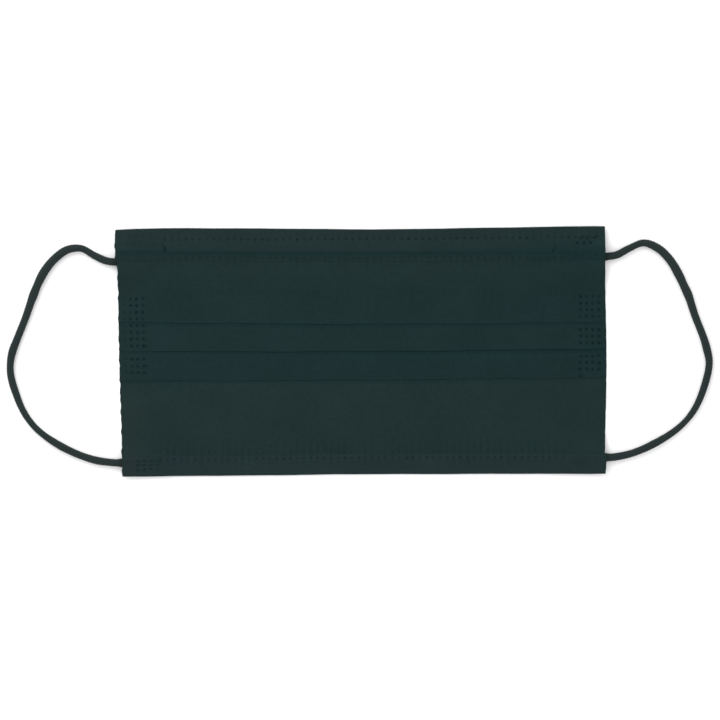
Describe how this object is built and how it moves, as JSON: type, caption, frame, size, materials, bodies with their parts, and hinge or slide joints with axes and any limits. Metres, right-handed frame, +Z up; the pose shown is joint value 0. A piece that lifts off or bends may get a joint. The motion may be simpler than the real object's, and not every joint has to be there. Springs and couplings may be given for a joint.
{
  "type": "disposable face mask",
  "caption": "Flat rectangular face mask in dark nonwoven fabric with knife pleats, turned-over hems, a nose wire inside the top hem and a round elastic ear loop lying out at each side.",
  "frame": {"origin": "on the surface the mask lies on, under the middle of the mask's rectangle, ear loops left out", "axes": "+Z up out of the outer face, +Y towards the nose edge, +X along the hems to the right as seen from above"},
  "size_m": [0.2537, 0.0902, 0.0048],
  "materials": {
    "panel_fabric": "dark green-black spunbond nonwoven, point-bonded, matt with a faint sheen",
    "hem_fabric": "dark green-black spunbond nonwoven, turned over and spot-welded",
    "elastic": "dark round knitted elastic cord, matt",
    "wire": "flat plastic-coated bendable wire, hidden inside the top hem"
  },
  "bodies": {
    "root": {"pleated_panel": "panel_fabric", "top_hem": "hem_fabric", "bottom_hem": "hem_fabric", "nose_wire": "wire", "ear_loop_left": "elastic", "ear_loop_right": "elastic"}
  },
  "joints": []
}
